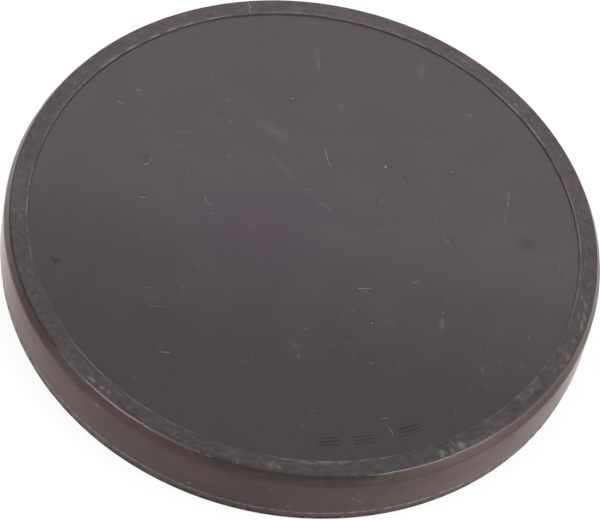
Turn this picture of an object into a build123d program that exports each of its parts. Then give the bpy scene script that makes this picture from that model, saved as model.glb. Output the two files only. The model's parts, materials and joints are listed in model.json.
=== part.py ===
# Closing plug for a housing bore: a shallow rubber cup, moulded in one piece. It is pressed
# into the bore, its flat closed face shuts the bore, and its skirt grips the bore's wall.
#
# Millimetres. +Z runs up the plug's axis, out of the closed face. The origin is the centre of
# the rim's lowest edge, so the plug stands on its open rim with the closed face on top.
#
# The plug is one section turned about the axis. From the axis outwards it has:
#   a plain disc, a raised flat ring with a small rounding, a steep lead-in chamfer,
#   the straight gripping wall, the step at the mould's parting line, a lip set back below it,
#   the flat rim that it stands on, and the hollow with its drafted wall and rounded root.
import os
from math import radians, tan

from build123d import *

# Bore that the plug closes, and how much wider the rubber wall is than that bore.
bore_diameter = 85.0
press_allowance = 0.3

# Size along the axis, from the rim's flat to the raised ring.
height = 10.0

# Closed face.
face_thickness = 3.2      # web under the disc, from the disc's surface to the hollow
recess_depth = 0.3        # disc below the raised ring
ring_width = 2.6          # raised ring, with its outer rounding
ring_lean = 0.12          # how far the ring's inner wall leans out over its height
ring_round = 0.3          # rounding of the ring's outer edge

# Outer wall.
lead_in_width = 0.7       # radial size of the chamfer that enters the bore first
lead_in_height = 1.4      # its size along the axis
lead_in_round = 1.6       # rounding where the chamfer runs out into the wall
lip_height = 1.6          # top of the lip above the rim's lowest edge
parting_height = 0.5      # sloping step at the parting line, along the axis
lip_set_back = 0.13       # lip's top inside the wall
lip_draw_in = 0.09        # how far the lip draws in from its top to the rim
rim_round = 0.4           # rounding of the rim's outer corner

# Hollow.
skirt_thickness = 4.2     # skirt at its mouth
hollow_draft = 3.0        # degrees that the hollow's wall leans in towards the face
root_radius = 1.6         # rounding where the hollow's wall meets the face
mouth_chamfer = 0.5       # break of the hollow's mouth

# Sizes that follow from those above.
wall_radius = (bore_diameter + press_allowance) / 2
ring_outer_radius = wall_radius - lead_in_width
disc_radius = ring_outer_radius - ring_width - ring_lean
disc_height = height - recess_depth
hollow_height = disc_height - face_thickness
lip_radius = wall_radius - lip_set_back
rim_radius = lip_radius - lip_draw_in
mouth_radius = wall_radius - skirt_thickness
root_wall_radius = mouth_radius - hollow_height * tan(radians(hollow_draft))


# Corners of the section that get a rounding.
ring_corner = (ring_outer_radius, height)
lead_in_corner = (wall_radius, height - lead_in_height)
rim_corner = (rim_radius, 0)
root_corner = (root_wall_radius, hollow_height)


def sharp_section():
    """The closed half section with sharp corners, in order round it from the axis."""
    outside = [
        (0, disc_height),
        (disc_radius, disc_height),
        (disc_radius + ring_lean, height),
        ring_corner,
        lead_in_corner,
        (wall_radius, lip_height + parting_height),
        (lip_radius, lip_height),
        rim_corner,
    ]
    inside = [
        (mouth_radius + mouth_chamfer, 0),
        (mouth_radius, mouth_chamfer),
        root_corner,
        (0, hollow_height),
    ]
    return make_face(Polyline(*outside, *inside, close=True))


def rounded(section, corner, radius):
    """The section with the vertex at this corner rounded."""
    vertex = section.vertices().sort_by_distance(corner)[0]
    return fillet(vertex, radius)


def plug_section():
    """The half section with its four roundings."""
    section = sharp_section()
    section = rounded(section, ring_corner, ring_round)
    section = rounded(section, lead_in_corner, lead_in_round)
    section = rounded(section, rim_corner, rim_round)
    return rounded(section, root_corner, root_radius)


closing_plug = revolve(Plane.XZ * plug_section(), Axis.Z)

os.makedirs("parts", exist_ok=True)
export_step(closing_plug, "parts/closing_plug.step")

print("wall diameter", round(2 * wall_radius, 3), "height", height)
print("disc diameter", round(2 * disc_radius, 3), "hollow", round(2 * mouth_radius, 3))
print("volume cm3", round(closing_plug.volume / 1000, 2), "valid", closing_plug.is_valid)
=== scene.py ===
import json
import math

import bpy
import numpy as np
from mathutils import Matrix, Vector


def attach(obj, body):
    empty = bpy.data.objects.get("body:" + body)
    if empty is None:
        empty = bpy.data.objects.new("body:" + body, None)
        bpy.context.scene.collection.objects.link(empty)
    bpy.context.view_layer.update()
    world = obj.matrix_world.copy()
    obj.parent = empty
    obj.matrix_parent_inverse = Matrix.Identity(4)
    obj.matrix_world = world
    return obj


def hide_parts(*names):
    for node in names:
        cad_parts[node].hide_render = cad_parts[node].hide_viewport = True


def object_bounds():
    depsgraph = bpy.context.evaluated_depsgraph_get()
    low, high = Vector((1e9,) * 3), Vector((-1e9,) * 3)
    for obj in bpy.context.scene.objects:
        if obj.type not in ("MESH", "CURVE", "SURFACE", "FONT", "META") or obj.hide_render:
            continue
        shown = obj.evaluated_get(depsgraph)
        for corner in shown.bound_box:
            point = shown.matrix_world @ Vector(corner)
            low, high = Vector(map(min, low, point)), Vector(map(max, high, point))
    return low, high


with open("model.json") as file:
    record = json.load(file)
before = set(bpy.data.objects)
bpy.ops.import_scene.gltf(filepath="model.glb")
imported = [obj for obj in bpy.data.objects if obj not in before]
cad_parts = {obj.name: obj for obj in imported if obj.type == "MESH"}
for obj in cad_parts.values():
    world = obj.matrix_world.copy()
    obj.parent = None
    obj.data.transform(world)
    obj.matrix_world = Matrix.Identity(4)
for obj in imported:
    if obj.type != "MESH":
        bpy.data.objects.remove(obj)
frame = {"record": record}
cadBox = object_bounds()

mm = 0.001
mounts = {m["name"]: m for m in frame["record"]["mounts"]}
wallRadius = mounts["bore_wall"]["dims"]["r_mm"]
height = cadBox[1].z / mm
print("frame loaded: wall radius", wallRadius, "height", round(height, 3))


# The plug's section in millimetres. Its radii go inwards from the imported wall.

shape = {
    "leadInWidth": 0.70,     # chamfer above the wall
    "leadInHeight": 1.40,
    "leadInRound": 1.60,
    "ringWidth": 2.60,       # flat ring round the disc
    "ringRound": 0.30,
    "ringLow": 0.05,         # ring below its own burr, which reaches the full height
    "ringLean": 0.12,
    "recess": 0.30,          # disc below the ring
    "face": 3.20,            # web under the disc
    "lipHeight": 1.60,       # lip below the parting line
    "partingHeight": 0.50,
    "lipSetBack": 0.13,
    "lipDrawIn": 0.09,
    "rimRound": 0.40,
    "skirt": 4.20,           # skirt at its mouth
    "hollowDraft": 3.0,      # degrees
    "rootRound": 1.60,
    "mouthChamfer": 0.50,
}
ringOuter = wallRadius - shape["leadInWidth"]
ringInner = ringOuter - shape["ringWidth"]
discRadius = ringInner - shape["ringLean"]
ringLevel = height - shape["ringLow"]
discLevel = height - shape["recess"]


# Helpers for shader trees. A value that varies comes in as a socket, a plain one as a number, and
# a new node goes into the tree of the first socket given.

def addNode(tree, kind, **settings):
    node = tree.nodes.new(kind)
    for name, value in settings.items():
        setattr(node, name, value)
    return node


def treeOf(values):
    return next(value.id_data for value in values if isinstance(value, bpy.types.NodeSocket))


def feed(socket, value):
    if isinstance(value, bpy.types.NodeSocket):
        socket.id_data.links.new(value, socket)
    else:
        socket.default_value = value


def fedNode(kind, *values, **settings):
    # A node with its first inputs fed in order.
    node = addNode(treeOf(values), kind, **settings)
    for socket, value in zip(node.inputs, values):
        feed(socket, value)
    return node


def calc(operation, first, second=0.0, third=0.0, clamp=False):
    # The operation's result on up to three numbers, as in a plain formula.
    values = (first, second, third)
    return fedNode("ShaderNodeMath", *values, operation=operation, use_clamp=clamp).outputs[0]


def times(first, second, clamp=False):
    return calc("MULTIPLY", first, second, clamp=clamp)


def planeDistance(x, y):
    # sqrt(x * x + y * y)
    return calc("SQRT", calc("ADD", times(x, x), times(y, y)))


def splitVector(vector):
    return fedNode("ShaderNodeSeparateXYZ", vector).outputs


def joinVector(x, y, z=0.0):
    return fedNode("ShaderNodeCombineXYZ", x, y, z).outputs[0]


def blendColors(factor, first, second):
    # first * (1 - factor) + second * factor
    values = (factor, first, second)
    node = addNode(treeOf(values), "ShaderNodeMix", data_type="RGBA")
    for index, value in zip((0, 6, 7), values):
        feed(node.inputs[index], value)
    return node.outputs[2]


def paint(color, mask, share, other):
    # color blended towards other by mask * share.
    return blendColors(times(mask, share), color, other)


def remap(value, fromLow, fromHigh, toLow=0.0, toHigh=1.0):
    # Smoothstep from one range to the other, held at its ends.
    values = (value, fromLow, fromHigh, toLow, toHigh)
    return fedNode("ShaderNodeMapRange", *values, interpolation_type="SMOOTHSTEP").outputs[0]


def between(value, low, high):
    # 0 where a length is low and 1 where it is high, both in millimetres.
    return remap(value, low * mm, high * mm)


def noise(vector, scale, detail=2.0, roughness=0.5):
    node = fedNode("ShaderNodeTexNoise", vector)
    for label, value in (("Scale", scale), ("Detail", detail), ("Roughness", roughness)):
        feed(node.inputs[label], value)
    return node.outputs["Fac"]


def levelAround(turn, stops):
    # A level by direction in degrees: it goes smoothly from each stop to the next.
    level = stops[0][1]
    for (here, low), (there, high) in zip(stops, stops[1:]):
        step = remap(turn, math.radians(here), math.radians(there), 0.0, high - low)
        level = calc("ADD", step, level)
    return level


def mixLevels(factor, first, second):
    # first + (second - first) * factor.
    return calc("MULTIPLY_ADD", calc("SUBTRACT", second, first), factor, first)


def newGroup(name, inputs, outputs):
    # An empty node group with these input and output sockets.
    group = bpy.data.node_groups.new(name, "ShaderNodeTree")
    for label, value in inputs.items():
        kind = "NodeSocketVector" if isinstance(value, tuple) else "NodeSocketFloat"
        socket = group.interface.new_socket(label, in_out="INPUT", socket_type=kind)
        socket.default_value = value
    for label, kind in outputs.items():
        group.interface.new_socket(label, in_out="OUTPUT", socket_type=kind)
    return group, group.nodes.new("NodeGroupInput").outputs, group.nodes.new("NodeGroupOutput").inputs


def useGroup(group, **values):
    node = addNode(treeOf(values.values()), "ShaderNodeGroup", node_tree=group)
    for label, value in values.items():
        feed(node.inputs[label], value)
    return node.outputs


def newMaterial(name, v):
    # A material with its Principled shader, and Object coordinates in metres.
    material = bpy.data.materials.new(name)
    material.use_nodes = True
    shader = material.node_tree.nodes["Principled BSDF"]
    shader.inputs["Roughness"].default_value = v["roughness"]
    shader.inputs["Specular Tint"].default_value = v.get("reflectionTint", (1, 1, 1, 1))
    return material, shader, addNode(material.node_tree, "ShaderNodeTexCoord").outputs["Object"]


def addBump(shader, relief, distance, strength):
    # The distance is in millimetres.
    bump = addNode(shader.id_data, "ShaderNodeBump")
    for label, value in (("Strength", strength), ("Distance", distance * mm), ("Height", relief)):
        feed(bump.inputs[label], value)
    feed(shader.inputs["Normal"], bump.outputs[0])


# Effects shared by several materials, each a node group.

def makeTurnedPlace():
    # (x / r, y / r) * Around, and r + z times Across: a pattern on it follows the turned shape.
    group, given, made = newGroup(
        "turnedPlace",
        {"Vector": (0, 0, 0), "Around": 1.0, "Across": 1.0},
        {"Vector": "NodeSocketVector", "Radius": "NodeSocketFloat"},
    )
    x, y, z = splitVector(given["Vector"])
    radius = planeDistance(x, y)
    reach = calc("DIVIDE", given["Around"], calc("MAXIMUM", radius, mm))
    along = times(calc("ADD", radius, z), given["Across"])
    feed(made["Vector"], joinVector(times(x, reach), times(y, reach), along))
    feed(made["Radius"], radius)
    return group


def makeSoftPatch():
    # One smear: 1 in its middle, falling to 0 at an ellipse of this length and width about
    # Centre, turned by Angle, with its edge broken up by the noise value Break.
    group, given, made = newGroup(
        "softPatch",
        {
            "Vector": (0, 0, 0), "Centre": (0, 0, 0), "Angle": 0.0,
            "Length": 0.004, "Width": 0.001, "Break": 0.5,
        },
        {"Mask": "NodeSocketFloat"},
    )
    moved = fedNode("ShaderNodeVectorMath", given["Vector"], given["Centre"], operation="SUBTRACT")
    turned = addNode(group, "ShaderNodeVectorRotate", rotation_type="Z_AXIS")
    feed(turned.inputs["Vector"], moved.outputs[0])
    feed(turned.inputs["Angle"], times(given["Angle"], -1.0))
    x, y = splitVector(turned.outputs[0])[:2]
    along = calc("DIVIDE", x, times(given["Length"], 0.5))
    across = calc("DIVIDE", y, times(given["Width"], 0.5))
    ragged = calc("SUBTRACT", given["Break"], 0.5)
    ragged = calc("MULTIPLY_ADD", ragged, 1.3, planeDistance(along, across))
    feed(made["Mask"], remap(ragged, 1.0, 0.1))
    return group


def makeDustSpecks():
    # Small specks: 1 inside Size of a cell point, kept in a Share of the cells.
    group, given, made = newGroup(
        "dustSpecks",
        {"Vector": (0, 0, 0), "Scale": 300.0, "Size": 0.12, "Share": 0.2},
        {"Mask": "NodeSocketFloat"},
    )
    cells = addNode(group, "ShaderNodeTexVoronoi")
    feed(cells.inputs["Vector"], given["Vector"])
    feed(cells.inputs["Scale"], given["Scale"])
    inside = calc("LESS_THAN", cells.outputs["Distance"], given["Size"])
    kept = calc("LESS_THAN", splitVector(cells.outputs["Color"])[0], given["Share"])
    feed(made["Mask"], times(inside, kept))
    return group


def makeMouldGrain():
    # Moulded rubber's skin: Height is fine grain times Fine plus broad unevenness,
    # Mottle is a slow drift and Break a ragged pattern for the edges of smears.
    group, given, made = newGroup(
        "mouldGrain",
        {"Vector": (0, 0, 0), "Fine": 0.5},
        {"Height": "NodeSocketFloat", "Mottle": "NodeSocketFloat", "Break": "NodeSocketFloat"},
    )
    fine = noise(given["Vector"], 5200.0, 2.0, 0.6)
    broad = noise(given["Vector"], 260.0, 3.0, 0.55)
    feed(made["Height"], calc("MULTIPLY_ADD", fine, given["Fine"], broad))
    feed(made["Mottle"], noise(given["Vector"], 55.0, 3.0, 0.5))
    feed(made["Break"], noise(given["Vector"], 1500.0, 3.0, 0.65))
    return group


turnedPlace = makeTurnedPlace()
softPatch = makeSoftPatch()
dustSpecks = makeDustSpecks()
mouldGrain = makeMouldGrain()
print("shader groups made")


def patchSum(place, breakUp, patches, level):
    # Sum of the smears' masks, each times its strength, held to 1. A smear is its middle x
    # and y, length and width in millimetres, direction in degrees, and strength.
    total = 0.0
    for x, y, length, width, angle, strength in patches:
        mask = useGroup(
            softPatch, Vector=place, Centre=(x * mm, y * mm, level * mm), Break=breakUp,
            Angle=math.radians(angle), Length=length * mm, Width=width * mm,
        )["Mask"]
        total = calc("MULTIPLY_ADD", mask, strength, total)
    return calc("MINIMUM", total, 1.0)


# Disc: smooth satin rubber, purple-grey, with smears and dust, and painted shade in small dents and round
# the bright specks.

discFinish = {
    "color": (0.0328, 0.0242, 0.0313, 1),
    "driftColor": (0.0350, 0.0273, 0.0334, 1),
    "warmColor": (0.0345, 0.0272, 0.0262, 1),
    "bloomColor": (0.0345, 0.0160, 0.0355, 1),
    "scuffColor": (0.150, 0.138, 0.145, 1),
    # painted shade: the colour of small dents and of the dark rims round bright specks
    "smudgeColor": (0.010, 0.008, 0.010, 1),
    "reflectionTint": (1.0, 0.95, 0.99, 1),
    "roughness": 0.12,
    "scuffRoughness": 0.3,   # added where it is scuffed
    "fine": 0.35,            # share of the fine grain, and the relief in millimetres and strength
    "bump": (0.02, 0.10),
    "drift": (130.0, 4.0, 0.6),   # slow drift of colour: scale, detail and roughness
    "driftRange": (0.42, 0.60),
    # layers over it: marks, the pattern that breaks up their edges, and colour
    "layers": [
        ("warms", "Mottle", "warmColor"), ("blooms", "Mottle", "bloomColor"),
        ("smudges", "Break", "smudgeColor"), ("smears", "Break", "scuffColor"),
    ],
    "blooms": [(-6.5, -1.9, 18.0, 12.5, 5, 0.70), (0.0, 3.6, 9.0, 4.0, -10, 0.40)],
    "warms": [(-24.5, 21.8, 31.0, 12.0, 40, 0.60), (2.0, -31.0, 44.0, 10.0, 0, 0.35)],
    # soft light marks: middle x and y, length, width, direction and strength
    "smears": [
        (-9.6, 17.4, 16, 6, -30, 0.03), (-7.6, 16, 10, 3, -24, 0.09), (-7.9, 16.2, 3, 1.6, -30, 0.08),
        (-5.2, 10, 8.6, 1.3, -41, 0.11), (1.9, 4.8, 3.8, 0.9, -30, 0.13), (-0.9, 6.7, 2.4, 1.2, -15, 0.1),
        (-13.1, 9.8, 1.8, 1.2, 0, 0.15), (11.4, 33.5, 5.6, 1.5, -86, 0.13),
        (-4, 31.6, 5.8, 1.1, -80, 0.12), (-3.5, 30, 2, 0.9, -80, 0.18), (-19.9, 12.1, 3.6, 0.9, -3, 0.13),
        (21.6, -11.2, 3, 1.3, -86, 0.26), (21.3, -6.4, 3.8, 0.5, -82, 0.08),
        (27.5, 10.3, 3.4, 0.7, -92, 0.12), (27.4, 14, 2.8, 0.7, -88, 0.1), (0.9, 23.4, 2.2, 1, -55, 0.12),
        (-0.9, 26.1, 1.8, 0.6, -80, 0.1), (-18.3, 24.2, 4.6, 0.9, -80, 0.08),
        (-20.1, 9.3, 1.6, 1.3, 0, 0.12), (10.7, 2.7, 2.2, 1.4, 10, 0.1), (-18.2, 5, 4.2, 0.6, -72, 0.09),
        (14.5, 20.2, 1.6, 0.8, 0, 0.12), (17, 25.4, 2.2, 0.7, 5, 0.1), (-27.5, 20.3, 2.8, 0.8, 45, 0.07),
        (-20.7, 19.9, 1.2, 0.6, 0, 0.1), (-8, -1.9, 4.2, 0.6, 18, 0.08), (-22, -8, 1.8, 0.9, -70, 0.11),
        (-4.2, -24.9, 3.4, 0.9, 4, 0.1), (-3.2, -23.5, 1.6, 0.6, -80, 0.1),
        (2.3, -20.3, 2.4, 1.6, 0, 0.12), (3, -21.9, 1.8, 1, -85, 0.15), (8.8, -18, 2.2, 0.6, 8, 0.1),
        (7.1, -18.8, 1.6, 0.8, 0, 0.09), (10.4, -19.9, 1.6, 0.9, 0, 0.09), (6.5, -30.3, 2, 0.6, 8, 0.11),
        (12.2, 11.9, 1.8, 1.1, 0, 0.09), (14.2, -12.7, 3.6, 1.3, 0, 0.09),
        (28.3, -17.2, 2.4, 1, -85, 0.11), (-13.6, -10.4, 1.8, 1.3, 0, 0.1),
        (36.3, 3.2, 2.2, 1, -50, 0.14), (19.5, 27, 1.4, 0.9, 30, 0.12), (-28, 17.6, 1.4, 1.4, 0, 0.1),
        (30.6, -15.2, 1.2, 1, 0, 0.12), (33.6, -15, 1.8, 1.6, 0, 0.09), (13, -20.4, 1.3, 1.1, 0, 0.1),
        (-14, 15.9, 1.2, 0.8, 90, 0.24), (-14.9, 19.7, 1, 0.8, 90, 0.22),
        (-14.6, 18.6, 0.8, 0.7, 0, 0.14),
    ],
    # painted shade in small dents and round the bright specks: middle x and y, length, width, direction
    # and strength
    "smudges": [
        (31.2, 6.1, 3.8, 3.5, 0, 0.6), (-13.6, -29, 1.5, 1.7, 0, 0.25), (-3.2, 13, 1.2, 0.9, 0, 0.25),
        (-26.8, 13, 1.5, 0.6, 90, 0.25), (-24.6, 6.4, 2.4, 1.6, 80, 0.5), (12, -13.5, 1.4, 1.4, 0, 1),
        (-6.1, 22.6, 1.6, 1.5, 90, 1), (-23.6, -0.8, 2, 1.4, 0, 0.55), (27.9, -13.3, 2.6, 0.6, 88, 0.7),
        (12.2, 13, 1.6, 1.2, 0, 0.8), (20.6, 3.9, 1.6, 1.3, 0, 0.6), (18.7, 15.4, 1.6, 1.2, 0, 0.7),
        (-15.9, 17.1, 1.1, 1, 0, 0.7), (28, -6.9, 1.3, 0.9, 0, 0.3), (15.3, -12.1, 1.3, 0.7, 0, 0.3),
        (23.8, -11.3, 0.8, 0.8, 0, 0.35), (1.6, -4.9, 0.6, 1.4, 0, 0.2),
        (19.4, -29.3, 4.4, 1.9, 34, 0.18),
    ],
}


def makeDiscRubber():
    v = discFinish
    material, shader, place = newMaterial("discRubber", v)
    grain = useGroup(mouldGrain, Vector=place, Fine=v["fine"])
    drift = remap(noise(place, *v["drift"]), *v["driftRange"])
    color = blendColors(drift, v["color"], v["driftColor"])
    # the smudges layer is painted shade
    for marks, pattern, other in v["layers"]:
        mask = patchSum(place, grain[pattern], v[marks], discLevel)
        color = blendColors(mask, color, v[other])
    feed(shader.inputs["Base Color"], color)
    # the last layer, the scuffs, is rougher too
    roughness = calc("MULTIPLY_ADD", mask, v["scuffRoughness"], v["roughness"])
    feed(shader.inputs["Roughness"], roughness)
    addBump(shader, grain["Height"], *v["bump"])
    return material


# Ring: the same rubber ground matt, with brownish patches on it, grain and pale rubs, and painted light
# and shade: a lighter far side, highlights along its edges and shade in a fine groove.

ringFinish = {
    "color": (0.0270, 0.0215, 0.0240, 1),
    # painted light: farColor is the ring's colour lit up on its far side
    "farColor": (0.0385, 0.0290, 0.0328, 1),
    "shadeColor": (0.0260, 0.0200, 0.0215, 1),
    "greenColor": (0.0290, 0.0270, 0.0245, 1),
    "pinkColor": (0.0560, 0.0345, 0.0398, 1),
    "paleColor": (0.150, 0.136, 0.134, 1),
    "darkColor": (0.010, 0.008, 0.009, 1),
    "roughColor": (0.0155, 0.0120, 0.0105, 1),
    "reflectionTint": (1.0, 0.94, 0.96, 1),
    "roughness": 0.42,
    "fine": 0.6,
    "bump": (0.05, 0.45),
    "nearToFar": (-38, 10),  # y from where color turns to farColor, painted light that makes the far side lighter, and to where
    "farReach": (-18, 30),   # y from where green fades and pink grows, and to where: this too paints the far side lighter
    "greenFade": -0.45,
    "pinkGrowth": (0.85, 0.22),
    "shadeShare": 0.55,
    "rubShare": 0.75,
    # patterns: scale, detail and roughness
    "patches": (420.0, 3.0, 0.6),
    "greenRange": (0.54, 0.68),
    "pinkRange": (0.55, 0.41),
    "tooth": (2300.0, 4.0, 0.68),
    "fragments": (700.0, 3.0, 0.6),
    "blotches": (1050.0, 3.0, 0.62),
    # light and dark in them: pattern, its range, share and colour
    "tones": [
        ("tooth", 0.5, 0.74, 0.24, "paleColor"), ("tooth", 0.5, 0.28, 0.5, "darkColor"),
        ("blotches", 0.56, 0.74, 0.26, "paleColor"), ("blotches", 0.46, 0.32, 0.5, "darkColor"),
    ],
    "shade": (20, 32),       # a darker stretch: its middle and half in degrees
    "rough": (-31, 27),      # a stretch with deeper light and dark patches, and those
    "roughTones": [(0.50, 0.62, 0.55, "roughColor"), (0.46, 0.36, 0.16, "paleColor")],
    # how pink its patches are: direction and share
    "pinkStops": [
        (-180, 0.9), (-60, 1), (-15, 0.9), (3, 0.35), (17, 0.45), (27, 1), (36, 0.35), (50, 0.5),
        (62, 1.2), (88, 1.3), (98, 0.75), (113, 0.75), (127, 1.2), (150, 1.2), (159, 0.35), (180, 0.45),
    ],
    "rubs": [
        (25, -32.6, 1.9, 1.3, -80, 0.9), (26.3, -31.8, 1.8, 1.1, -60, 0.6),
        (27.4, -30.6, 2.1, 1.5, -50, 0.95), (26.2, -30.6, 2.6, 0.6, -40, 0.3),
        (38.2, -14.6, 1.6, 0.6, 80, 0.35), (39.6, -11.8, 2.2, 0.8, 104, 0.45),
        (40.1, -8.9, 1.8, 0.7, 100, 0.4), (40.85, -5.9, 3.2, 0.55, 95, 0.9),
        (40.95, -4.2, 2.9, 0.5, 103, 1), (40.95, -2.5, 2.6, 0.5, 107, 0.9),
        (40.2, -4.4, 2.4, 0.45, 100, 0.45), (40.2, -1.2, 2.4, 0.42, 104, 0.45),
        (-23.8, -33.6, 2.1, 0.9, -33, 0.85), (-22.1, -34.6, 1.6, 0.8, -20, 0.8),
        (-21.1, -35.1, 1.3, 0.9, -50, 0.6), (-41, -4.3, 14, 3.4, 96, 0.17),
        (-26.9, -31.6, 2.4, 0.7, -45, 0.25), (-19.6, -35, 2.2, 0.7, -30, 0.25),
        (26, 30.8, 1.6, 0.8, -50, 0.4), (17.2, 37, 1.6, 0.9, -30, 0.35), (2.6, -40.6, 1.9, 1.1, 50, 0.45),
        (3.7, -40.8, 1, 1.1, 80, 0.65), (-1.9, -41.6, 0.6, 0.5, 0, 0.9),
    ],
    # lines round the ring: way out from its inner edge, width, and stretches, each with its
    # direction, half and strength. The pale burr, second and rim lines are painted highlights.
    "burr": (0.18, 0.16, [
        (46, 12, 0.85), (22, 15, 0.4), (84, 26, 0.3), (110, 6, 0.6), (133, 18, 0.95), (163, 13, 0.35),
        (-168, 14, 0.5), (-122, 20, 0.3), (-74, 14, 0.6), (-30, 12, 0.25), (3, 14, 0.45),
    ]),
    # painted shade: a dark line as the shade in a fine groove
    "groove": (0.52, 0.12, [(3, 20, 0.6), (-168, 12, 0.4), (-74, 14, 0.4)]),
    "second": (0.46, 0.14, [(-76, 9, 0.45), (-94, 8, 0.20), (133, 16, 0.30)]),
    "rim": (2.50, 0.30, [(40, 24, 0.40), (122, 40, 0.35), (75, 12, 0.25)]),
    # dark patches, mostly along the ring's outer part: middle x and y, length, width, direction and
    # strength
    "bruises": [
        (-17.6, -37.65, 6, 0.9, -25, 0.8), (-12.5, -39.65, 6, 0.9, -17, 0.95),
        (32.6, -25.6, 5, 0.6, 51, 0.35), (37.4, 18.2, 0.9, 1.4, 60, 0.55),
        (-19.5, -36.2, 1.6, 0.5, -30, 0.6), (-23.2, -34.9, 2.4, 0.4, -33, 0.6),
        (38.4, -12.6, 2.4, 0.6, 104, 0.5), (40.7, -7.4, 2.4, 0.4, 98, 0.5),
        (40.75, -3.2, 3.4, 0.35, 103, 0.6), (39.1, 12.6, 1.5, 1.2, 100, 0.65),
        (-6, -41.4, 6, 0.8, -8, 0.8), (-11, -40.4, 5, 0.7, -15, 0.6), (0.6, -41.8, 3.4, 0.5, 0, 0.8),
        (7.4, -41.2, 5, 0.6, 10, 0.8), (13.3, -39.8, 2.8, 0.5, 18, 0.5),
    ],
}


def turnWindow(turn, middle, half, ragged=None, fade=4):
    # 0 where the direction lies further than half from middle, rising to 1 over fade degrees.
    # A pattern given as ragged breaks up its ends.
    off = calc("ABSOLUTE", calc("SUBTRACT", turn, math.radians(middle)))
    if ragged:
        off = calc("MULTIPLY_ADD", calc("SUBTRACT", ragged, 0.5), 0.3, off)
    return remap(off, math.radians(half), math.radians(half - fade))


def edgeLine(radius, turn, ragged, out, width, stretches):
    # A line round the ring: 1 where |radius - (ringInner + out)| < width * 0.4, falling to 0 at
    # width, times the strongest of its stretches there.
    off = calc("ABSOLUTE", calc("SUBTRACT", radius, (ringInner + out) * mm))
    total = 0.0
    for middle, reach, strength in stretches:
        shown = turnWindow(turn, middle, reach, ragged)
        total = calc("MAXIMUM", total, times(shown, strength))
    return times(total, between(off, width, width * 0.4))


def makeRingRubber():
    v = ringFinish
    material, shader, place = newMaterial("ringRubber", v)
    grain = useGroup(mouldGrain, Vector=place, Fine=v["fine"])
    turned = useGroup(turnedPlace, Vector=place, Around=wallRadius * mm * 0.7, Across=1.3)
    x, y = splitVector(place)[:2]
    turn = calc("ARCTAN2", y, x)
    patches = noise(place, *v["patches"])
    patterns = {key: noise(turned["Vector"], *v[key]) for key in ("tooth", "fragments", "blotches")}
    fragments = patterns["fragments"]
    shade = turnWindow(turn, *v["shade"], fragments, fade=14)
    # painted light: the ring's colour lightens towards the far side, where green fades and pink grows
    far = between(y, *v["farReach"])
    base = blendColors(between(y, *v["nearToFar"]), v["color"], v["farColor"])
    base = paint(base, shade, v["shadeShare"], v["shadeColor"])
    green = calc("MULTIPLY_ADD", far, v["greenFade"], 1.0)
    color = paint(base, remap(patches, *v["greenRange"]), green, v["greenColor"])
    pink = calc("MULTIPLY_ADD", far, *v["pinkGrowth"], clamp=True)
    pink = times(remap(patches, *v["pinkRange"]), pink)
    pink = times(pink, levelAround(turn, v["pinkStops"]), clamp=True)
    color = blendColors(pink, color, v["pinkColor"])
    for key, low, high, share, other in v["tones"]:
        color = paint(color, remap(patterns[key], low, high), share, v[other])
    rough = turnWindow(turn, *v["rough"], fragments, fade=10)
    for low, high, share, other in v["roughTones"]:
        mask = times(remap(patches, low, high), share)
        color = paint(color, rough, mask, v[other])
    rub = patchSum(place, grain["Break"], v["rubs"], ringLevel)
    color = paint(color, rub, v["rubShare"], v["paleColor"])
    darkPatch = patchSum(place, grain["Break"], v["bruises"], ringLevel)
    color = blendColors(darkPatch, color, v["darkColor"])
    broken = remap(fragments, 0.39, 0.55)
    # painted shade of a fine groove, as a dark line
    groove = edgeLine(turned["Radius"], turn, None, *v["groove"])
    color = paint(color, groove, broken, v["darkColor"])
    # painted highlights: pale lines along the burr and the ring's outer rim
    burr, second, rim = [
        edgeLine(turned["Radius"], turn, fragments, *v[key]) for key in ("burr", "second", "rim")
    ]
    rim = times(rim, remap(patterns["blotches"], 0.50, 0.60))
    edgeHighlights = times(calc("MAXIMUM", burr, second), broken)
    edgeHighlights = calc("MAXIMUM", edgeHighlights, rim)
    # the painted highlights, in the pale colour
    color = blendColors(edgeHighlights, color, v["paleColor"])
    feed(shader.inputs["Base Color"], color)
    addBump(shader, calc("MULTIPLY_ADD", grain["Height"], 0.4, patterns["tooth"]), *v["bump"])
    return material


# Wall, lead-in and lip: dense glossy skin straight from the mould, dark red-brown, with painted shade in a
# fine notch and at the lip's foot, and small painted highlights.

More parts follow.
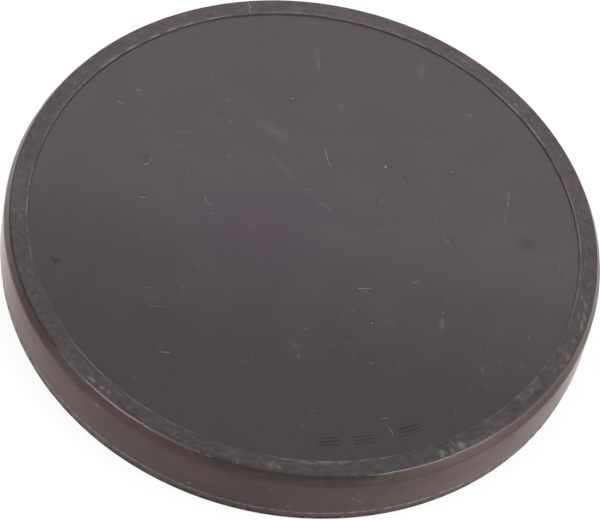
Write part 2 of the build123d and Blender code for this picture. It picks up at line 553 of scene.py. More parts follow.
wallFinish = {
    "color": (0.0275, 0.0140, 0.0147, 1),
    "oliveColor": (0.0230, 0.0168, 0.0125, 1),
    "dustColor": (0.16, 0.13, 0.12, 1),
    "wornColor": (0.018, 0.013, 0.013, 1),
    # near black painted shade, for the notch along the ring's edge and the lip's foot
    "notchColor": (0.003, 0.002, 0.002, 1),
    "reflectionTint": (1.0, 0.87, 0.88, 1),
    "oliveTint": (0.95, 0.93, 0.85, 1),
    "roughness": 0.14,
    "leadInRoughness": 0.27,
    "fine": 0.25,
    "bump": (0.02, 0.16),
    # heights where an effect starts and where it is full
    "foot": (1.25, 0.45),    # painted shade at the foot of the lip, where it meets the floor
    "low": (2.6, 2.0),       # rougher skin below the parting line
    "dull": (2.1, 1.0),
    # the same, below the top
    "edge": (0.27, 0.19),
    "worn": (0.9, 0.3),
    "leadIn": (2.1, 1.3),
    "notchMiddle": 0.20,     # below the top, and its reach up and down from there
    "notchReach": (0.16, 0.09),
    # patterns: scale, detail and roughness
    "ragged": (1100.0, 3.0, 0.65),
    "frayed": (620.0, 3.0, 0.65),
    "sheen": (150.0, 3.0, 0.55),
    "slant": -35,            # the sheen's streaks: their direction in degrees, and stretch
    "streaks": (0.5, 1.6, 1),
    "mirror": (0.57, 0.44),  # how much the skin mirrors in the sheen's dark and light
    "footFade": -0.70,       # and how much less at the foot and on the dull lip
    "dullFade": -0.30,
    "edgeIndex": 2.0,        # the ring's rounded edge is polished by the mould
    "polished": (-77, 62),   # stretch where that shows: its middle and half in degrees
    "wornEdge": (-83, 18),   # worn stretch of that edge
    "notch": (-149, 16),     # dark line painted as the shade in a fine notch along the ring's edge on the left
    "dullLip": (-28, 22),    # stretch where the lip mirrors less
    # pale marks painted as small highlights: way round the wall from the right, height, length, width,
    # direction, strength
    "rubs": [
        (-74.8, 3, 0.8, 0.7, 20, 1), (-63.6, 6.9, 0.9, 0.6, 60, 0.3), (-60.9, 3.3, 1.5, 0.6, 0, 0.35),
        (-52.2, 5.4, 0.9, 0.7, 40, 0.4), (-51.4, 6.3, 0.8, 0.7, -50, 0.35),
        (-51, 4.5, 1.3, 0.6, -45, 0.5), (-46.5, 5.2, 1, 0.6, -30, 0.35), (-90.5, 8.1, 1.6, 1, 40, 0.35),
        (-55.9, 3.6, 2.2, 0.5, 0, 0.2), (-97, 3.4, 0.8, 0.5, 0, 0.2), (-111.5, 4.6, 5, 0.9, 35, 0.1),
        (-31, 5.6, 4, 1.1, -40, 0.12),
    ],
}


def makeWallRubber():
    v = wallFinish
    material, shader, place = newMaterial("wallRubber", v)
    grain = useGroup(mouldGrain, Vector=place, Fine=v["fine"])
    specks = useGroup(dustSpecks, Vector=place, Scale=380.0, Size=0.10, Share=0.06)["Mask"]
    x, y, z = splitVector(place)
    turn = calc("ARCTAN2", y, x)
    color = blendColors(remap(grain["Mottle"], 0.44, 0.58), v["color"], v["oliveColor"])
    color = paint(color, specks, 0.4, v["dustColor"])
    unrolled = joinVector(times(turn, wallRadius * mm), z)
    # painted highlights: small pale marks on the wall
    rub = patchSum(unrolled, grain["Break"], v["rubs"], 0)
    color = blendColors(rub, color, v["dustColor"])
    ragged = noise(place, *v["ragged"])
    # painted shade: the lip's foot where it meets the floor, darkened in ragged dashes
    foot = times(between(z, *v["foot"]), remap(ragged, 0.36, 0.54))
    color = paint(color, foot, 0.9, v["notchColor"])
    edge, wearing, leadIn = [
        between(z, *(height - below for below in v[key])) for key in ("edge", "worn", "leadIn")
    ]
    worn = times(turnWindow(turn, *v["wornEdge"], grain["Break"]), wearing)
    color = blendColors(worn, color, v["wornColor"])
    # painted shade: a dark line in the fine notch along the ring's edge, over its shallow dip
    notch = turnWindow(turn, *v["notch"])
    off = calc("ABSOLUTE", calc("SUBTRACT", z, (height - v["notchMiddle"]) * mm))
    depth = between(off, *v["notchReach"])
    frayed = remap(noise(place, *v["frayed"]), 0.40, 0.56, 0.30, 0.78)
    notch = times(times(notch, depth), frayed)
    color = blendColors(notch, color, v["notchColor"])
    feed(shader.inputs["Base Color"], color)
    shine = times(edge, calc("SUBTRACT", 1.0, worn))
    shine = times(shine, turnWindow(turn, *v["polished"], fade=9))
    shine = calc("SUBTRACT", shine, notch, clamp=True)
    feed(shader.inputs["IOR"], remap(shine, 0.0, 1.0, 1.5, v["edgeIndex"]))
    slanted = fedNode("ShaderNodeMapping", unrolled)
    slanted.inputs["Rotation"].default_value = (0, 0, math.radians(v["slant"]))
    slanted.inputs["Scale"].default_value = v["streaks"]
    sheen = noise(slanted.outputs[0], *v["sheen"])
    tint = blendColors(remap(sheen, 0.44, 0.60), v["reflectionTint"], v["oliveTint"])
    feed(shader.inputs["Specular Tint"], tint)
    mirror = remap(sheen, 0.34, 0.66, *v["mirror"])
    mirror = times(mirror, calc("MULTIPLY_ADD", foot, v["footFade"], 1.0))
    dull = times(turnWindow(turn, *v["dullLip"], fade=12), between(z, *v["dull"]))
    mirror = times(mirror, calc("MULTIPLY_ADD", dull, v["dullFade"], 1.0))
    feed(shader.inputs["Specular IOR Level"], mirror)
    roughness = remap(leadIn, 0.0, 1.0, v["roughness"], v["leadInRoughness"])
    roughness = calc("MULTIPLY_ADD", shine, -0.12, roughness)
    roughness = calc("MULTIPLY_ADD", calc("MAXIMUM", worn, notch), 0.45, roughness)
    low = times(between(z, *v["low"]), remap(ragged, 0.40, 0.62))
    roughness = calc("MULTIPLY_ADD", low, 0.28, roughness)
    feed(shader.inputs["Roughness"], roughness)
    addBump(shader, grain["Height"], *v["bump"])
    return material


# Rim and hollow: the mould's plain satin skin, a little dusty.

hollowFinish = {
    "color": (0.034, 0.027, 0.029, 1),
    "dustColor": (0.085, 0.078, 0.076, 1),
    "roughness": 0.42,
    "fine": 0.6,
    "bump": (0.04, 0.25),
}


def makeHollowRubber():
    v = hollowFinish
    material, shader, place = newMaterial("hollowRubber", v)
    grain = useGroup(mouldGrain, Vector=place, Fine=v["fine"])
    specks = useGroup(dustSpecks, Vector=place, Scale=350.0, Size=0.12, Share=0.12)["Mask"]
    color = paint(v["color"], remap(grain["Mottle"], 0.45, 0.75), 0.4, v["dustColor"])
    color = paint(color, specks, 0.5, v["dustColor"])
    feed(shader.inputs["Base Color"], color)
    addBump(shader, grain["Height"], *v["bump"])
    return material


# Torn rubber of nicks and hair-fine flash: pale and matt.

nickFinish = {
    "color": (0.040, 0.031, 0.037, 1),
    "lightColor": (0.330, 0.308, 0.310, 1),
    "roughness": 0.5,
}


def makeNickRubber():
    v = nickFinish
    material, shader, place = newMaterial("nickRubber", v)
    own = addNode(material.node_tree, "ShaderNodeAttribute", attribute_name="strength")
    blend = remap(noise(place, 800.0, 3.0, 0.6), 0.36, 0.60, 0.50, 0.90)
    color = paint(v["color"], blend, own.outputs["Fac"], v["lightColor"])
    feed(shader.inputs["Base Color"], color)
    return material


discRubber = makeDiscRubber()
ringRubber = makeRingRubber()
wallRubber = makeWallRubber()
hollowRubber = makeHollowRubber()
nickRubber = makeNickRubber()
print("rubber finishes made")


def meshFromArrays(name, vertices, quads, triangles, materials=(), slots=None):
    # A smooth mesh from whole arrays in millimetres: vertices, then quads, then triangles.
    mesh = bpy.data.meshes.new(name)
    loops = np.concatenate([quads.ravel(), triangles.ravel()]).astype(np.int32)
    totals = np.concatenate([np.full(len(quads), 4), np.full(len(triangles), 3)]).astype(np.int32)
    starts = np.concatenate([[0], np.cumsum(totals)[:-1]]).astype(np.int32)
    mesh.vertices.add(len(vertices))
    mesh.vertices.foreach_set("co", (np.asarray(vertices) * mm).astype(np.float32).ravel())
    mesh.loops.add(len(loops))
    mesh.loops.foreach_set("vertex_index", loops)
    mesh.polygons.add(len(totals))
    mesh.polygons.foreach_set("loop_start", starts)
    mesh.polygons.foreach_set("loop_total", totals)
    mesh.polygons.foreach_set("use_smooth", np.ones(len(totals), bool))
    for material in materials:
        mesh.materials.append(material)
    if slots is not None:
        mesh.polygons.foreach_set("material_index", np.asarray(slots, np.int32))
    mesh.update(calc_edges=True)
    mesh.validate()
    piece = bpy.data.objects.new(name, mesh)
    bpy.context.scene.collection.objects.link(piece)
    return piece


def bandQuads(rows, columns):
    # Quads (row, col), (row + 1, col), (row + 1, col + 1), (row, col + 1) of a grid whose
    # last column joins its first.
    i, j = np.meshgrid(np.arange(rows - 1), np.arange(columns), indexing="ij")
    k = (j + 1) % columns
    corners = [i * columns + j, (i + 1) * columns + j, (i + 1) * columns + k, i * columns + k]
    return np.stack(corners, -1).reshape(-1, 4)


def poleFans(rows, columns):
    # Triangles from one vertex past the grid to its first row, and from the next to its last.
    j = np.arange(columns)
    k = (j + 1) % columns
    first, last, end = rows * columns, rows * columns + 1, (rows - 1) * columns
    start = np.stack([np.full(columns, first), j, k], -1)
    finish = np.stack([np.full(columns, last), end + k, end + j], -1)
    return np.concatenate([start, finish])


# The plug's body: one turned surface, closed at both ends on the axis.

bodyValues = {
    "columns": 780,
    "edgeWander": 0.10,      # how far the ring's outer edge wanders in its worn stretch
    "wornEdge": (-83, 17),   # that stretch: its middle and its half in degrees
    "notch": (-149, 15),     # fine notch along the ring's edge on the left, as above
    "notchDepth": 0.08,
    "notchInset": 0.08,      # in from that edge, and its half width
    "notchWidth": 0.10,
    "reliefDepth": 0.010,    # unevenness of the ground ring
    "burrWidth": 0.32,       # raised burr along the ring's inner edge
    "edgeWidth": 0.25,       # half width of what wanders with the outer edge
    "leadInWander": 0.018,   # unevenness where the lead-in runs out into the wall
    "runOutDepth": 1.2,      # that place's depth below the top, and its half height
    "runOutHeight": 0.7,
    # waves: how many, highest count round the plug, spread across, and seed
    "burrWaves": (30, 60, 0, 3),
    "reliefWaves": (60, 240, 5.0, 11),
    "leadInWaves": (40, 70, 1.5, 8),
    "edgeWaves": (40, 200, 0, 5),
    "burrStretches": [(85, 75), (-75, 10)],   # where the burr shows: middle and half in degrees
    "topZone": 0.6,          # the ring and its edges lie in this height below the top
}


def roundedProfile(corners):
    # Corners (r, z, rounding, steps to the next, zone) to dense rows. A corner c becomes the
    # curve (1-t)^2 a + 2t(1-t) c + t^2 b between the points a and b that lie
    # rounding * tan(turn / 2) before and after it. Each straight run starts and ends with a
    # row 0.04 mm from its end, which keeps the shading of the edge tight.
    flat = np.array([c[:2] for c in corners], float)
    ahead = np.diff(flat, axis=0)
    way = ahead / np.hypot(ahead[:, 0], ahead[:, 1])[:, None]
    points, zones, start = [], [], flat[0]
    for i in range(1, len(corners)):
        steps, zone = corners[i - 1][3:]
        rounding, trim = corners[i][2], 0.0
        if i < len(corners) - 1 and rounding > 0:
            turn = math.acos(min(1.0, float(way[i - 1] @ way[i])))
            trim = rounding * math.tan(turn / 2)
        end = flat[i] - way[i - 1] * trim
        near = min(0.04 / np.hypot(*(end - start)), 0.3)
        inner = np.linspace(near, 1 - near, steps + 1) if steps > 1 else np.array([near, 1 - near])
        at = np.concatenate([inner, [1.0]])
        points.append(start + at[:, None] * (end - start))
        zones += [zone] * len(at)
        start = end
        if trim > 0:
            bends = 6 if rounding > 0.2 else 2
            t = np.linspace(0, 1, bends + 1)[1:, None]
            leave = flat[i] + way[i] * trim
            points.append((1 - t) ** 2 * end + 2 * t * (1 - t) * flat[i] + t ** 2 * leave)
            zones += [corners[i][4]] * bends
            start = leave
    return np.concatenate(points)[:-1], np.array(zones)[:-1]


def waviness(turn, along, count, highest, stretch, seed):
    # Sum of cos(n * turn + k * along + phase) over random whole n and random k, with a
    # spread of about 1.
    rng = np.random.default_rng(seed)
    total = 0.0
    for n, k, phase in zip(rng.integers(2, highest, count), rng.normal(0, stretch, count),
                           rng.uniform(0, 2 * math.pi, count)):
        total = total + np.cos(n * turn + k * along + phase)
    return total * math.sqrt(2 / count)


def window(turn, middle, half):
    # exp(-(difference / half)^4): 1 about the middle direction, 0 past it. In degrees.
    away = (np.degrees(turn) - middle + 180) % 360 - 180
    return np.exp(-(away / half) ** 4)


def makeBody():
    s, v = shape, bodyValues
    mouth = wallRadius - s["skirt"]
    roof = discLevel - s["face"]
    root = mouth - roof * math.tan(math.radians(s["hollowDraft"]))
    lip = wallRadius - s["lipSetBack"]
    burrEnd = ringInner + v["burrWidth"]
    # r, z, rounding, steps to the next corner, zone: 0 disc, 1 ring, 2 wall, 3 rim and hollow
    corners = [
        (0.0, discLevel, 0, 5, 0),
        (discRadius, discLevel, 0.05, 1, 0),
        (ringInner, ringLevel, 0.03, 7, 1),
        (burrEnd, ringLevel, 0, 12, 1),
        (ringOuter, ringLevel, s["ringRound"], 3, 2),
        (wallRadius, height - s["leadInHeight"], s["leadInRound"], 3, 2),
        (wallRadius, s["lipHeight"] + s["partingHeight"], 0.05, 1, 2),
        (lip, s["lipHeight"], 0.05, 2, 2),
        (lip - s["lipDrawIn"], 0.0, s["rimRound"], 4, 3),
        (mouth + s["mouthChamfer"], 0.0, 0.05, 1, 3),
        (mouth, s["mouthChamfer"], 0.1, 3, 3),
        (root, roof, s["rootRound"], 6, 3),
        (0.0, roof, 0, 0, 3),
    ]
    profile, zones = roundedProfile(corners)
    angle = np.linspace(-math.pi, math.pi, v["columns"], endpoint=False)
    turn, r = np.meshgrid(angle, profile[:, 0])
    z = np.repeat(profile[:, 1:], len(angle), 1)
    onTop = z > height - v["topZone"]
    # burr: a low bump exp(-((r - middle) / width)^2) that comes and goes round the ring
    strength = np.clip(0.5 + 0.45 * waviness(turn, r, *v["burrWaves"]), 0.1, 1)
    shown = sum((window(turn, *stretch) for stretch in v["burrStretches"]), 0.15)
    strength = strength * np.clip(shown, 0, 1)
    middle = ringInner + v["burrWidth"] * 0.4
    burr = np.exp(-((r - middle) / (v["burrWidth"] * 0.35)) ** 2) * (r > ringInner - 0.02) * onTop
    z = z + burr * s["ringLow"] * strength
    # the ground ring is slightly uneven between its burr and its outer edge
    flat = np.clip((r - middle - 0.2) / 0.3, 0, 1) * np.clip((ringOuter - 0.25 - r) / 0.2, 0, 1) * onTop
    z = z - flat * v["reliefDepth"] * (1 + waviness(turn, r, *v["reliefWaves"]))
    # the lead-in runs out into the wall unevenly
    runOut = np.exp(-((z - height + v["runOutDepth"]) / v["runOutHeight"]) ** 2) * (r > ringOuter + 0.1)
    r = r - runOut * v["leadInWander"] * np.maximum(1 + waviness(turn, z, *v["leadInWaves"]), 0)
    # the outer edge wanders where it is worn
    worn = window(turn, *v["wornEdge"])
    edge = np.exp(-((r - ringOuter) / v["edgeWidth"]) ** 2) * onTop
    wander = waviness(turn, r, *v["edgeWaves"])
    r = r + edge * wander * v["edgeWander"] * (0.08 + worn)
    z = z - edge * np.abs(wander) * v["edgeWander"] * worn * 0.7
    # notch: a narrow dip exp(-((r - edge + inset) / width)^2) along the ring's edge
    dip = np.exp(-((r - ringOuter + v["notchInset"]) / v["notchWidth"]) ** 2) * onTop
    z = z - dip * v["notchDepth"] * window(turn, *v["notch"])
    grid = np.stack([r * np.cos(turn), r * np.sin(turn), z], -1).reshape(-1, 3)
    rows, columns = r.shape
    vertices = np.concatenate([grid, [[0, 0, discLevel], [0, 0, roof]]])
    quads, fans = bandQuads(rows, columns), poleFans(rows, columns)
    slots = np.concatenate([np.repeat(zones[1:], columns), np.zeros(columns), np.full(columns, 3)])
    print("body rows", rows, "columns", columns, "triangles", len(quads) * 2 + len(fans))
    return meshFromArrays("plugBody", vertices, quads, fans,
                          [discRubber, ringRubber, wallRubber, hollowRubber], slots)


plugBody = makeBody()
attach(plugBody, "root")
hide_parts("closing_plug")
print("body made")


# Nicks, specks and one hair of flash: low ridges of torn rubber with both ends pointed.

nickValues = {
    "sections": 9,
    "rise": 0.22,            # crest above the surface, as a share of the width
    "ringStrength": 0.9,
    "bend": 0.012,           # sideways bow, as a share of the length
    # by strength: ends x, y, x, y and width in millimetres
    "disc": {
        0.85: [
            (-0.1, 15.5, 1.5, 11.7, 0.15), (8.9, -8.3, 11, -7.7, 0.18), (-24.5, 4.6, -23.7, 5.3, 0.18),
            (-23.6, 5.5, -23.6, 6.4, 0.09), (-15.1, 1.6, -14.3, 0.6, 0.14),
            (-14.4, 0.7, -13.7, 0.1, 0.15), (-24.2, -1.2, -22.9, -0.9, 0.16),
            (-30.6, 14.9, -29.5, 14.7, 0.22), (-28.4, 18, -27.4, 17.8, 0.16), (9.4, 7.4, 10.1, 8.6, 0.13),
            (19.5, 3.7, 20, 3.2, 0.14), (19.9, 3.2, 20.4, 3.8, 0.13), (27.5, 13, 27.6, 11.9, 0.13),
            (33.9, -9.6, 33.9, -10.4, 0.12),
        ],
        0.48: [
            (-16, -26.5, -15, -26.35, 0.19), (-15.2, -26.4, -14.3, -26.2, 0.18),
            (15.8, -29.1, 16.9, -28.7, 0.16), (17, -30, 18.1, -31.4, 0.21), (27.3, 15, 27.5, 12.6, 0.09),
            (27.6, 11.3, 27.4, 9, 0.09), (2.8, -17, 3.5, -17.2, 0.13), (19.1, 26.9, 20, 27.4, 0.15),
            (27, -20, 27.1, -21.1, 0.09), (-3.7, 30.9, -3.4, 29.2, 0.12), (-1.8, 7, -0.3, 7.1, 0.1),
            (0.4, 5.6, 2, 4.6, 0.08), (1.8, 4.8, 3.4, 3.9, 0.08), (16.3, -5.1, 17.2, -4.7, 0.18),
            (19, 4.7, 19.6, 3.9, 0.07), (-17.6, -19.1, -16.2, -18.7, 0.07), (4.3, -30.2, 5.2, -30, 0.09),
            (26.6, 8.1, 27.3, 8.1, 0.11), (23, 30.3, 23.5, 29.7, 0.09), (23.5, 29.8, 23.9, 28.5, 0.09),
            (9.5, -8.8, 10.8, -8.4, 0.1), (-3.8, 9, -1.9, 7.1, 0.07), (-7.7, 27.9, -7.2, 27.6, 0.16),
            (27.5, -12.2, 27.6, -13.8, 0.06),
        ],
        0.26: [
            (-20, -16.5, -18.9, -16.1, 0.2), (-19.5, -18.1, -18.4, -17.8, 0.15),
            (-18.8, -17.9, -17.2, -17.4, 0.08), (-18.8, -19.4, -17.3, -19, 0.22),
            (-23.6, 6.3, -23.9, 7.1, 0.06), (-28, 17.2, -27.4, 16.9, 0.07), (-1, 6.6, 0.1, 5.9, 0.08),
            (6.3, 23.5, 7.3, 23.6, 0.2), (24, 25.6, 25.3, 25.9, 0.08), (-4.3, 33.8, -3.8, 31, 0.06),
            (25.6, -24.6, 25.8, -25.9, 0.09), (6, -30.4, 7.2, -30.2, 0.07),
            (-15, -14.4, -14.6, -15.6, 0.17), (-13.9, -16.4, -13.4, -17.1, 0.09),
            (10.8, -17.3, 11.8, -16.9, 0.13), (8.3, -18, 9.4, -17.8, 0.1), (28.2, -16.5, 28.4, -18, 0.09),
            (16.8, -12.8, 18.3, -12.4, 0.09), (29.3, -19.3, 29.3, -20.1, 0.09),
            (15.2, -21.1, 15.2, -22, 0.09), (-25.3, -17, -24.9, -18, 0.09),
            (-9.3, -24.1, -8.7, -24.3, 0.13), (-18.5, -31.4, -17.9, -31.7, 0.12),
            (32.4, 6.9, 33.1, 6.6, 0.24), (-8.8, 16.5, -7.9, 15.9, 0.09), (-13.8, 10.1, -12.6, 9.9, 0.08),
        ],
    },
    # by strength: middles x, y and size
    "specks": {
        1.0: [(9.2, 14.2, 0.48), (-6.1, 22.7, 0.44)],
        0.46: [
            (12, -13.6, 0.46), (18.7, 16, 0.44), (18, 6.6, 0.32), (17.6, 7.2, 0.26), (-13.3, -1.1, 0.32),
            (21.4, -9, 0.3), (7.8, -14.2, 0.26), (35.2, -13.8, 0.2), (-34.5, -13.9, 0.22),
            (6.2, 31.8, 0.3), (12.2, 12.6, 0.28), (5.5, -33.2, 0.24), (21.3, 29.5, 0.24),
            (-15.9, 16.1, 0.24),
        ],
        0.25: [
            (13, -20.3, 0.32), (16.8, -19.9, 0.27), (9, -12.2, 0.32), (30.6, -15.3, 0.17),
            (11.8, -21.8, 0.22), (3, -22, 0.16), (2.2, -20.1, 0.19), (15.1, -12.7, 0.28),
            (32.1, -3.7, 0.34), (-20.1, 9.3, 0.24), (10, -13.6, 0.24), (17.6, -11.3, 0.22),
            (26.8, -13, 0.18), (28.1, -6.5, 0.26), (9.2, -9.2, 0.22), (30.9, -12.6, 0.2),
            (14.5, -10.6, 0.2), (-22, -7.8, 0.2),
        ],
    },
    "ring": [
        (-14.9, 36.3, -15.4, 37.3, 0.19), (-15.4, 37.2, -15.2, 37.9, 0.16),
        (-15.2, 37.8, -15.9, 38.4, 0.16),
    ],
}


def ridgeArrays(ends, widths, level, highest):
    # Closed ridges from start to end. At share t of the length the half width is
    # width / 2 * sqrt(4t(1-t)), the sideways bow is bend * length * 4t(1-t), and a section is a
    # triangle with its crest up and its foot sunk into the surface.
    v = nickValues
    start, end = ends[:, None, :2], ends[:, None, 2:]
    t = np.linspace(0, 1, v["sections"])[None, :, None]
    swell = 4 * t * (1 - t)
    way = end - start
    length = np.hypot(way[..., :1], way[..., 1:])
    side = np.concatenate([-way[..., 1:], way[..., :1]], -1) / length
    turnAbout = np.where(np.arange(len(ends)) % 2, 1.0, -1.0)[:, None, None]
    middle = start + t * way + side * swell * length * v["bend"] * turnAbout
    half = widths[:, None, None] / 2 * np.sqrt(np.maximum(swell, 1e-4))
    crest = np.minimum(level + half * 2 * v["rise"], highest)
    foot = np.full_like(crest, level - 0.02)
    left = np.concatenate([middle - side * half, foot], -1)
    top = np.concatenate([middle, crest], -1)
    right = np.concatenate([middle + side * half, foot], -1)
    points = np.stack([left, top, right], 2).reshape(-1, 3)
    count, sections = len(ends), v["sections"]
    base = (np.arange(count) * sections * 3)[:, None, None]
    i, j = np.meshgrid(np.arange(sections - 1) * 3, np.arange(3), indexing="ij")
    k = (j + 1) % 3
    one = np.stack([i + j, i + k, i + 3 + k, i + 3 + j], -1).reshape(1, -1, 4)
    quads = (one + base).reshape(-1, 4)
    last = (sections - 1) * 3
    caps = (np.array([[[0, 2, 1], [last, last + 1, last + 2]]]) + base).reshape(-1, 3)
    return points, quads, caps


def gathered(groups):
    # All rows under one another, each led by the strength of its group.
    led = [np.insert(np.array(rows), 0, strength, 1) for strength, rows in groups.items()]
    return np.concatenate(led)


def makeNicks():
    v = nickValues
    disc, spots, ring = gathered(v["disc"]), gathered(v["specks"]), np.array(v["ring"])
    strengths = np.concatenate([disc[:, 0], spots[:, 0], np.full(len(ring), v["ringStrength"])])
    disc, spots = disc[:, 1:], spots[:, 1:]
    rng = np.random.default_rng(4)
    lean = rng.normal(0, 0.7, len(spots))
    reach = np.stack([np.cos(lean), np.sin(lean)], -1) * spots[:, 2:]
    reach = reach * rng.uniform(0.45, 0.65, (len(spots), 1))
    spotEnds = np.concatenate([spots[:, :2] - reach, spots[:, :2] + reach], -1)
    parts = [
        ridgeArrays(disc[:, :4], disc[:, 4], discLevel, discLevel + 0.05),
        ridgeArrays(spotEnds, spots[:, 2] * 0.85, discLevel, discLevel + 0.05),
        ridgeArrays(ring[:, :4], ring[:, 4], ringLevel, height),
    ]
    points, quads, caps, first = [], [], [], 0
    for part in parts:
        points.append(part[0])
        quads.append(part[1] + first)
        caps.append(part[2] + first)
        first += len(part[0])
    piece = meshFromArrays("faceNicks", np.concatenate(points), np.concatenate(quads),
                           np.concatenate(caps), [nickRubber])
    marks = piece.data.attributes.new("strength", "FLOAT", "POINT")
    marks.data.foreach_set("value", np.repeat(strengths, v["sections"] * 3).astype(np.float32))
    return piece


faceNicks = makeNicks()
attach(faceNicks, "root")
print("nicks made")


# Plain moulded pips in the place of the moulded marks: low domes in three stippled patches.

pipValues = {
    "radius": 35.9,
    # direction of a patch's middle in degrees, and its columns and rows
    "patches": [(-74.5, 5, 3), (-66.6, 5, 3), (-55.8, 6, 3)],
    "pitch": (0.62, 0.56),   # from pip to pip round and outwards
    "size": 0.46,            # diameter of a pip
    "rise": 0.20,
    "stagger": 0.25,         # every other row is shifted by this share of the pitch
    "shares": (0.25, 0.5, 0.75, 1.0, 1.0),   # rows of a pip, as shares of its radius
    "sides": 16,
    "sunk": 0.05,
    # pips by themselves, x and y: a close cluster on the left, and a flatter one on the right
    "left": [(-33.5, -14.9), (-33.1, -15.2), (-32.7, -15.0), (-32.4, -15.4), (-33.0, -15.6)],
    "right": [(35.8, 3.7), (36.3, 3.2), (36.7, 2.6)],
    "rightRise": 0.07,
}


def makePips():
    # A dome's height is rise * (1 - s^2) at share s of its radius. Its foot is sunk.
    v = pipValues
    middles = [np.array(v["right"]), np.array(v["left"])]
    for direction, columns, rows in v["patches"]:
        across, out = np.meshgrid(np.arange(columns) - (columns - 1) / 2, np.arange(rows) - (rows - 1) / 2)
        across = across + np.where(np.arange(rows) % 2, v["stagger"], -v["stagger"])[:, None]
        out = v["radius"] + out * v["pitch"][1]
        turn = math.radians(direction) + across * v["pitch"][0] / v["radius"]
        middles.append(np.stack([out * np.cos(turn), out * np.sin(turn)], -1).reshape(-1, 2))
    middles = np.concatenate(middles)
    rise = np.where(np.arange(len(middles)) < len(v["right"]), v["rightRise"], v["rise"])[:, None]
    share = np.array(v["shares"])
    level = discLevel + rise * (1 - share ** 2)
    level[:, -1] -= v["sunk"]
    turn = np.linspace(0, 2 * math.pi, v["sides"], endpoint=False)
    ring = np.stack([np.cos(turn), np.sin(turn)], -1) * v["size"] / 2
    rows, columns = len(share), len(turn)
    flat = middles[:, None, None, :] + share[None, :, None, None] * ring[None, None]
    z = np.broadcast_to(level[:, :, None, None], flat.shape[:-1] + (1,))
    grid = np.concatenate([flat, z], -1).reshape(len(middles), -1, 3)
    tops = np.concatenate([middles, discLevel + rise], -1)
    feet = np.concatenate([middles, np.full((len(middles), 1), discLevel - v["sunk"])], -1)
    points = np.concatenate([grid, tops[:, None], feet[:, None]], 1)
    base = (np.arange(len(middles)) * points.shape[1])[:, None, None]
    quads = (bandQuads(rows, columns)[None] + base).reshape(-1, 4)
    fans = (poleFans(rows, columns)[None] + base).reshape(-1, 3)
    return meshFromArrays("mouldPips", points.reshape(-1, 3), quads, fans, [discRubber])


mouldPips = makePips()
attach(mouldPips, "root")
print("pips made")


# Studio: pale floor, white surroundings, and soft lamps.

studioValues = {
    "floorHalf": 1.5,
    "floorColor": (0.82, 0.82, 0.82, 1),
    "shownFloor": 0.22,      # share of lit floor in the picture, which keeps the shadow
    "shownGlow": 0.82,
    # how bright the floor is in the plug's own reflections: direction from its middle and
    # level, close to the wall, a little further out and far out
    "mirroredNear": [
        (-180, 1.02), (-165, 0.91), (-152, 0.84), (-125, 0.94), (-108, 0.87), (-90, 0.76), (-78, 0.86),
        (-66, 0.9), (-54, 1), (-45, 1), (-28, 0.79), (-15, 0.67), (-3, 0.82), (150, 0.82), (180, 1.02),
    ],
    "mirroredMiddle": [
        (-178, 1.3), (-166, 0.88), (-154, 0.76), (-134, 1.28), (-110, 1.28), (-92, 0.88), (-78, 0.88),
        (-66, 1), (-54, 1.6), (-36, 1.8), (-22, 1.12), (-12, 0.92), (0, 1.3),
    ],
    "mirroredFar": [
        (-180, 1.38), (-168, 0.9), (-158, 0.82), (-142, 1.48), (-114, 1.37), (-90, 1.12), (-66, 1.32),
        (-48, 2.9), (-34, 3.7), (-24, 2.5), (-12, 1.72), (-2, 1.55), (8, 2.4), (150, 2.4), (180, 1.38),
    ],
    "insideReach": (0.036, 0.041),   # even under the plug itself
    "insideShare": 0.85,
    "middleReach": (0.048, 0.058),
    "farReach": (0.057, 0.082),
    # how much green and blue it keeps there, by direction
    "mirroredTint": [
        (-178, 0.93), (-168, 0.86), (-156, 0.8), (-132, 0.79), (-112, 0.84), (-68, 0.845), (-48, 0.79),
        (-24, 0.8), (-8, 0.85), (150, 0.85), (180, 0.93),
    ],
    "worldLight": 0.80,
    # lamp: place, width, height and brightness
    "lamps": {
        "rightLamp": ((0.343, -0.137, 0.473), 0.38, 0.20, 3.6),
        "leftLamp": ((-0.335, -0.264, 0.421), 0.17, 0.20, 4.5),
        "nearPanel": ((0.0, 0.1194, 0.0836), 0.50, 0.1124, 0.43),
        "farPanel": ((0.0, 0.2494, 0.1748), 1.00, 0.247, 0.35),
    },
}


def mirroredFloor(tree):
    # The floor's level and colour in the plug's reflections. The colour's red stays, and green
    # and blue are kept by the share.
    v = studioValues
    x, y = splitVector(addNode(tree, "ShaderNodeTexCoord").outputs["Object"])[:2]
    turn = calc("ARCTAN2", y, x)
    away = planeDistance(x, y)
    keys = ("mirroredNear", "mirroredMiddle", "mirroredFar", "mirroredTint")
    near, middle, far, share = [levelAround(turn, v[key]) for key in keys]
    level = mixLevels(remap(away, *v["middleReach"]), near, middle)
    level = mixLevels(remap(away, *v["farReach"]), level, far)
    outside = remap(away, *v["insideReach"])
    level = mixLevels(outside, 1.0, level)
    share = mixLevels(outside, v["insideShare"], share)
    return level, blendColors(share, (1, 0, 0, 1), (1, 1, 0.994, 1))


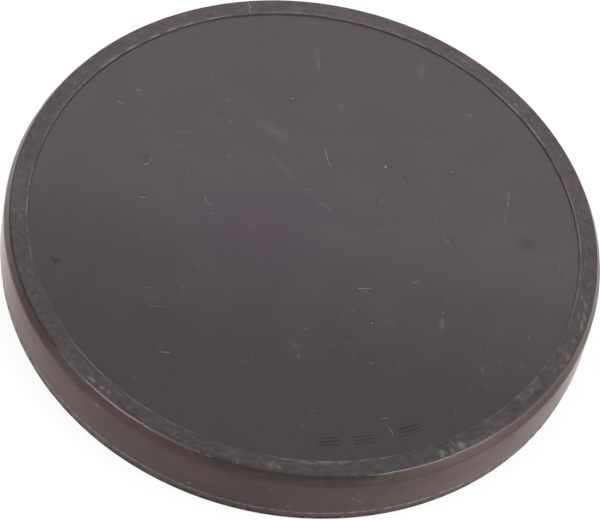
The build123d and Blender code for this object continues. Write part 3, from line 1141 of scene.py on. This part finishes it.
def makeFloor():
    # A diffuse floor for the light. The picture sees a part of it with an even glow added, the
    # plug's reflections see it at mirroredFloor's level, and from below it is clear.
    v = studioValues
    half = v["floorHalf"] / mm
    corners = np.array([[-half, -half, 0], [half, -half, 0], [half, half, 0], [-half, half, 0]])
    floor = meshFromArrays("floor", corners, np.array([[0, 1, 2, 3]]), np.zeros((0, 3)))
    material = bpy.data.materials.new("paleFloor")
    material.use_nodes = True
    tree = material.node_tree
    tree.nodes.remove(tree.nodes["Principled BSDF"])
    path = addNode(tree, "ShaderNodeLightPath").outputs
    share = v["shownFloor"]
    plain, shown = addNode(tree, "ShaderNodeBsdfDiffuse"), addNode(tree, "ShaderNodeBsdfDiffuse")
    plain.inputs["Color"].default_value = v["floorColor"]
    shown.inputs["Color"].default_value = (share, share, share, 1)
    level, tint = mirroredFloor(tree)
    tint = blendColors(path["Is Glossy Ray"], (1, 1, 1, 1), tint)
    level = mixLevels(path["Is Glossy Ray"], 1.0, level)
    glow = fedNode("ShaderNodeEmission", tint, times(level, v["shownGlow"]))
    both = fedNode("ShaderNodeAddShader", shown.outputs[0], glow.outputs[0])
    seen = calc("MAXIMUM", path["Is Camera Ray"], path["Is Glossy Ray"])
    above = fedNode("ShaderNodeMixShader", seen, plain.outputs[0], both.outputs[0])
    below = addNode(tree, "ShaderNodeBsdfTransparent").outputs[0]
    side = addNode(tree, "ShaderNodeNewGeometry").outputs["Backfacing"]
    whole = fedNode("ShaderNodeMixShader", side, above.outputs[0], below)
    feed(tree.nodes["Material Output"].inputs["Surface"], whole.outputs[0])
    floor.data.materials.append(material)


def makeSurroundings():
    # Plain white all round: full strength in the picture, worldLight as light.
    world = bpy.data.worlds.new("studio")
    bpy.context.scene.world = world
    world.use_nodes = True
    tree = world.node_tree
    path = addNode(tree, "ShaderNodeLightPath").outputs
    strength = calc("MAXIMUM", studioValues["worldLight"], path["Is Camera Ray"])
    feed(tree.nodes["Background"].inputs["Strength"], strength)
    tree.nodes["Background"].inputs["Color"].default_value = (1, 1, 1, 1)


def lookMatrix(place, forward, upHint):
    # -Z along forward, and Y as near to upHint as it can be.
    right = np.cross(forward, upHint)
    right /= np.linalg.norm(right)
    up = np.cross(right, forward)
    rows = [[right[i], up[i], -forward[i], place[i]] for i in range(3)]
    return Matrix(rows + [[0, 0, 0, 1]])


def makeLamps():
    # A lamp of brightness L and area A has the power L * pi * A.
    for name, (place, width, tall, brightness) in studioValues["lamps"].items():
        lamp = bpy.data.lights.new(name, "AREA")
        lamp.shape = "RECTANGLE"
        lamp.size, lamp.size_y = width, tall
        lamp.energy = brightness * math.pi * width * tall
        stand = bpy.data.objects.new(name, lamp)
        bpy.context.scene.collection.objects.link(stand)
        place = np.array(place)
        stand.matrix_world = lookMatrix(place, -place / np.linalg.norm(place), np.array([0, 0, 1.0]))
        stand.visible_camera = False


makeFloor()
makeSurroundings()
makeLamps()
print("studio made")


# Camera.

cameraValues = {
    "elevation": 52.80,      # degrees above the table, seen from the front (-Y)
    "lean": 12.96,           # degrees that the picture is turned about the line of sight
    "distance": 527.1,       # from the middle of the closed face, in millimetres
    "asideRight": 0.84,      # how far that middle lies right of and above the line of sight
    "asideUp": 4.61,
    "lens": 223.6,
}


def makeCamera():
    v = cameraValues
    elevation, lean = math.radians(v["elevation"]), math.radians(v["lean"])
    forward = np.array([0, math.cos(elevation), -math.sin(elevation)])
    level = np.array([1.0, 0, 0])
    upright = np.array([0, math.sin(elevation), math.cos(elevation)])
    right = math.cos(lean) * level + math.sin(lean) * upright
    up = math.cos(lean) * upright - math.sin(lean) * level
    aside = v["asideRight"] * right + v["asideUp"] * up + v["distance"] * forward
    data = bpy.data.cameras.new("camera")
    data.lens, data.sensor_width = v["lens"], 36.0
    data.clip_start, data.clip_end = 0.01, 20.0
    camera = bpy.data.objects.new("camera", data)
    bpy.context.scene.collection.objects.link(camera)
    camera.matrix_world = lookMatrix((np.array([0, 0, height]) - aside) * mm, forward, up)
    bpy.context.scene.camera = camera


makeCamera()
bpy.context.scene.view_settings.view_transform = "Standard"
print("camera made")
